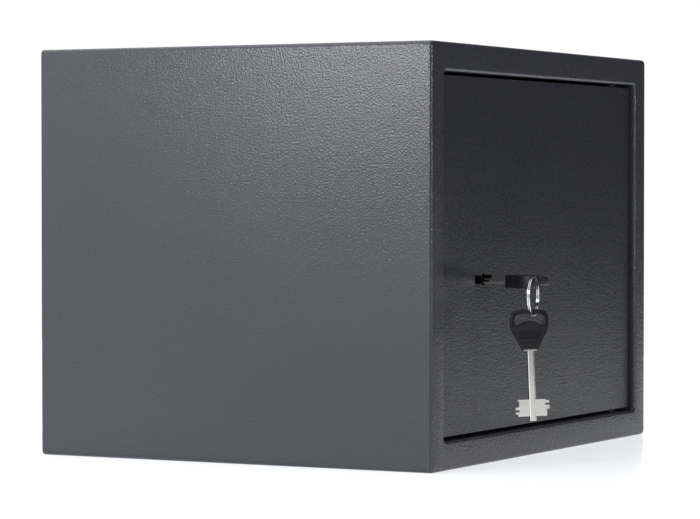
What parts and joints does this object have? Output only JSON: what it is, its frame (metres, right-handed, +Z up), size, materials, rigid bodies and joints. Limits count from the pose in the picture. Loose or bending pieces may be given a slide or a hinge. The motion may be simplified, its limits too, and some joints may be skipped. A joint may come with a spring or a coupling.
{
  "type": "furniture safe with key lock",
  "caption": "Small steel furniture safe with a hinged flush door, round locking bolts, a double-bit key lock, a floor mat and a spare key on a split ring.",
  "frame": {"origin": "centre of the cabinet's base, on the surface it stands on", "axes": "+X to the right seen from the front, the front faces -Y, +Z up"},
  "size_m": [0.3, 0.2898, 0.233],
  "materials": {
    "cabinet_paint": "textured graphite powder coat",
    "door_paint": "textured graphite powder coat",
    "bright_steel": "turned",
    "zinc_steel": "zinc plated",
    "brass": "stamped",
    "black_plastic": "moulded",
    "nickel": "nickel plated",
    "felt": "needle felt"
  },
  "bodies": {
    "cabinet": {"body_wrap": "cabinet_paint", "back_panel": "cabinet_paint", "front_frame": "cabinet_paint", "floor_mat": "felt", "hinge_pins": "bright_steel", "hinge_washers": "zinc_steel", "door_stops": "cabinet_paint"},
    "door": {"door_plate": "door_paint", "keyhole_liner": "black_plastic", "hinge_lugs": "door_paint", "bolt_guide": "door_paint", "drill_plate": "zinc_steel", "lock_case": "zinc_steel", "lock_cover": "zinc_steel", "lock_cover_screws": "zinc_steel", "lock_studs": "bright_steel", "lock_nuts": "zinc_steel", "lever_post": "bright_steel", "inner_cover": "door_paint", "cover_pillars": "zinc_steel", "cover_screws": "zinc_steel"},
    "bolts": {"locking_bolts": "bright_steel", "bolt_bar": "zinc_steel", "gate_stump": "bright_steel"},
    "levers": {"levers": "brass", "lever_springs": "bright_steel"},
    "key_curtain": {"key_curtain": "brass"},
    "key": {"key_blade": "nickel", "key_bow": "black_plastic"},
    "key_ring": {"key_ring": "nickel"},
    "spare_key": {"spare_key_blade": "nickel", "spare_key_bow": "black_plastic"}
  },
  "joints": [
    {"name": "door_hinge", "type": "hinge", "parent": "cabinet", "child": "door", "pos_m": [0.1152, -0.1145, 0.1], "axis": [0, 0, 1], "range_deg": [0, 110]},
    {"name": "bolt_slide", "type": "slide", "parent": "door", "child": "bolts", "axis": [-1, 0, 0], "range_m": [0, 0.012]},
    {"name": "lever_lift", "type": "hinge", "parent": "door", "child": "levers", "pos_m": [-0.049, -0.1033, 0.1202], "axis": [0, 1, 0], "range_deg": [0, 3], "stiffness_Nm_per_rad": 0.2, "springref_deg": -5.73},
    {"name": "key_turn", "type": "hinge", "parent": "door", "child": "key_curtain", "pos_m": [-0.0776, -0.113, 0.1018], "axis": [0, -1, 0], "range_deg": [0, 360]},
    {"name": "key_draw", "type": "slide", "parent": "key_curtain", "child": "key", "axis": [0, -1, 0], "range_m": [0, 0.03]},
    {"name": "ring_swing", "type": "hinge", "parent": "key", "child": "key_ring", "pos_m": [-0.0861, -0.1558, 0.1018], "axis": [-0.1736, 0.9848, 0], "range_deg": [-20, 20]},
    {"name": "spare_key_swing", "type": "hinge", "parent": "key_ring", "child": "spare_key", "pos_m": [-0.0861, -0.1558, 0.08345], "axis": [0.9848, 0.1736, 0], "range_deg": [-30, 20]}
  ],
  "couplings": [
    {"joint": "key_turn", "follows": "bolt_slide", "rad_per_m": 523.6}
  ]
}
